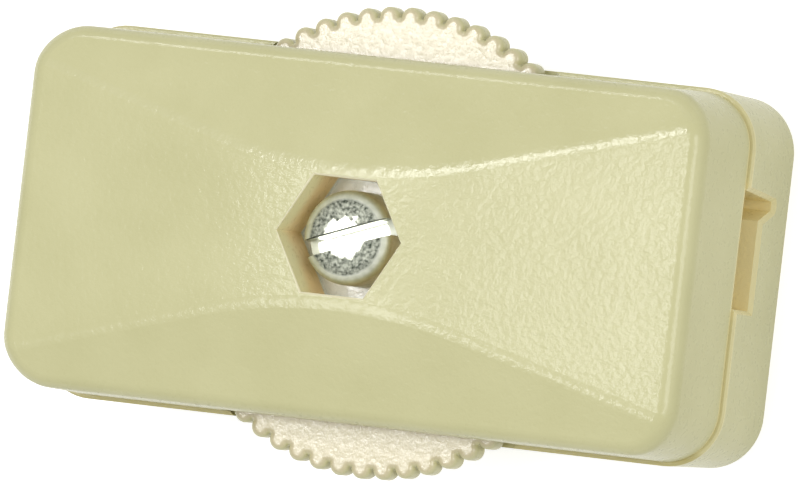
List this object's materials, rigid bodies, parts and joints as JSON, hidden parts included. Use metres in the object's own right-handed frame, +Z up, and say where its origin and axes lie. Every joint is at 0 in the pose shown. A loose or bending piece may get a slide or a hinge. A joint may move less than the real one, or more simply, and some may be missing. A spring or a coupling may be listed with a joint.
{
  "type": "inline cord switch",
  "caption": "Rotary inline lamp-cord switch in a split moulded shell, with a scalloped thumbwheel that stands out past both long sides and end slots that grip a flat cord.",
  "frame": {"origin": "centre of the rear face of the base, under the wheel's axis", "axes": "+X along the cord, +Y across it, +Z up the wheel's axis towards the cover"},
  "size_m": [0.0446, 0.0284, 0.0167],
  "materials": {
    "shell_plastic": "satin moulded",
    "wheel_plastic": "satin moulded",
    "contact_brass": "rolled strip",
    "plated_steel": "bright zinc plate"
  },
  "bodies": {
    "housing": {"cover": "shell_plastic", "base": "shell_plastic", "assembly_screw": "plated_steel", "clamp_nut": "plated_steel", "contact_right": "contact_brass", "contact_left": "contact_brass"},
    "wheel": {"thumbwheel": "wheel_plastic", "bridging_contact": "contact_brass"}
  },
  "joints": [
    {"name": "wheel_turn", "type": "hinge", "parent": "housing", "child": "wheel", "pos_m": [0, 0, 0.0088], "axis": [0, 0, 1], "continuous": true}
  ]
}
